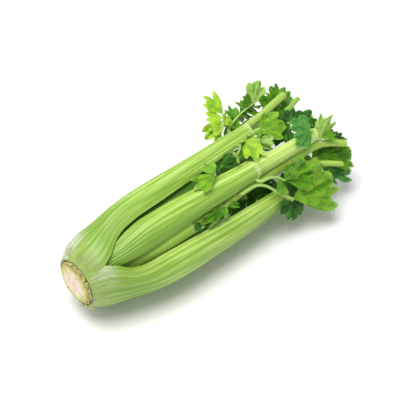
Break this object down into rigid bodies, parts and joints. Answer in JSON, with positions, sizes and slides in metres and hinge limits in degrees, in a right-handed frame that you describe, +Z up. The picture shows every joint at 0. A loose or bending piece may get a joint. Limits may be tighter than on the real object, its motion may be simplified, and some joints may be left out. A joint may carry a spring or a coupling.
{
  "type": "head of celery",
  "caption": "Head of celery lying on its side: cream cut butt, ribbed green stalks clasped round one another, trimmed upper stems and a spread of toothed leaflets.",
  "frame": {"origin": "middle of the bounding box in X and Y, on the surface that the head lies on", "axes": "+X along the head from the cut butt to the leafy end, +Z up, the side with the spread leaves turned toward -Y and up"},
  "size_m": [0.3344, 0.1482, 0.1099],
  "materials": {
    "butt": "cut and trimmed butt, dry and matte",
    "stalk_outer": "ribbed skin, waxy satin",
    "stalk_inner": "paler ribbed skin, waxy satin",
    "leaf_yellow": "young yellow-green leaf, soft sheen",
    "leaf_green": "green leaf, soft sheen",
    "leaf_dark": "dark green leaf, soft sheen",
    "leaf_blue": "bluish green leaf, dull",
    "leaf_pale": "pale underside of a leaf, dull"
  },
  "bodies": {
    "root": {"core": "butt", "stalk_outer_a": "stalk_outer", "stalk_outer_b": "stalk_outer", "stalk_outer_c": "stalk_outer", "stalk_middle_a": "stalk_outer", "stalk_middle_b": "stalk_outer", "stalk_middle_c": "stalk_outer", "stalk_inner_a": "stalk_inner", "stalk_inner_b": "stalk_inner", "stalk_inner_c": "stalk_inner", "stalk_heart_a": "stalk_inner", "stalk_heart_b": "stalk_inner", "spray_yellow_back": "leaf_yellow", "spray_fan_joint": "leaf_yellow", "spray_yellow_gap": "leaf_yellow", "spray_folded_edge": "leaf_yellow", "spray_heart": "leaf_yellow", "spray_pale_back": "leaf_pale", "spray_pale_curl": "leaf_pale", "spray_folded_gap": "leaf_pale", "spray_curled_end": "leaf_pale", "spray_dark_gap": "leaf_dark", "spray_slot_dark": "leaf_dark", "spray_slot_deep": "leaf_dark", "spray_dark_top": "leaf_dark", "spray_dark_front": "leaf_dark", "spray_dark_end": "leaf_dark", "spray_blue_top": "leaf_blue", "spray_blue_end": "leaf_blue", "spray_rear_tip": "leaf_green", "spray_joint_front": "leaf_green", "spray_broad_front": "leaf_green", "spray_slot_front": "leaf_green", "spray_green_end": "leaf_green", "spray_rear_joint": "leaf_green", "spray_rear_low": "leaf_green", "spray_under_end": "leaf_green", "spray_under_front": "leaf_green"}
  },
  "joints": []
}
